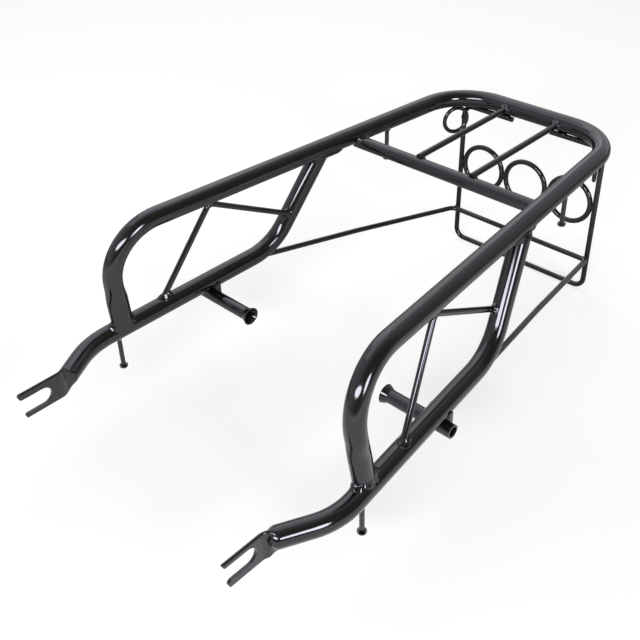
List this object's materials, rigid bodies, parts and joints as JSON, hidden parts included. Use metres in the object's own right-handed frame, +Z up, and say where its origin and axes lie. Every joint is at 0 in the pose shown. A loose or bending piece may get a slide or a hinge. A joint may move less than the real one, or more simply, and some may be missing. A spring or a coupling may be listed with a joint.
{
  "type": "rear luggage carrier",
  "caption": "Welded tubular rear carrier: top hoop, side tubes with slotted fork ends, brace rods, deck rods and a hanging rear panel with plain rings.",
  "frame": {"origin": "middle of the carrier's length and width, at the height of the lowest rod of the rear panel", "axes": "+Z up; the fork ends point to -Y and the rear panel is at +Y; X across, the carrier is symmetric about X = 0, but for the heights of its fork blades"},
  "size_m": [0.2876, 0.516, 0.1725],
  "materials": {
    "black_enamel": "high gloss black stoved enamel over welded steel tube and rod"
  },
  "bodies": {
    "root": {"top_hoop": "black_enamel", "left_side_tube": "black_enamel", "left_brace_rod": "black_enamel", "left_deck_rod": "black_enamel", "left_corner_ring": "black_enamel", "left_sleeve": "black_enamel", "left_saddle_plate": "black_enamel", "left_front_stud": "black_enamel", "left_rear_stud": "black_enamel", "right_side_tube": "black_enamel", "right_brace_rod": "black_enamel", "right_deck_rod": "black_enamel", "right_corner_ring": "black_enamel", "right_sleeve": "black_enamel", "right_saddle_plate": "black_enamel", "right_front_stud": "black_enamel", "right_rear_stud": "black_enamel", "cross_tube": "black_enamel", "panel_frame": "black_enamel", "panel_stay": "black_enamel", "ornament_ring_1": "black_enamel", "ornament_ring_2": "black_enamel", "ornament_ring_3": "black_enamel"}
  },
  "joints": []
}
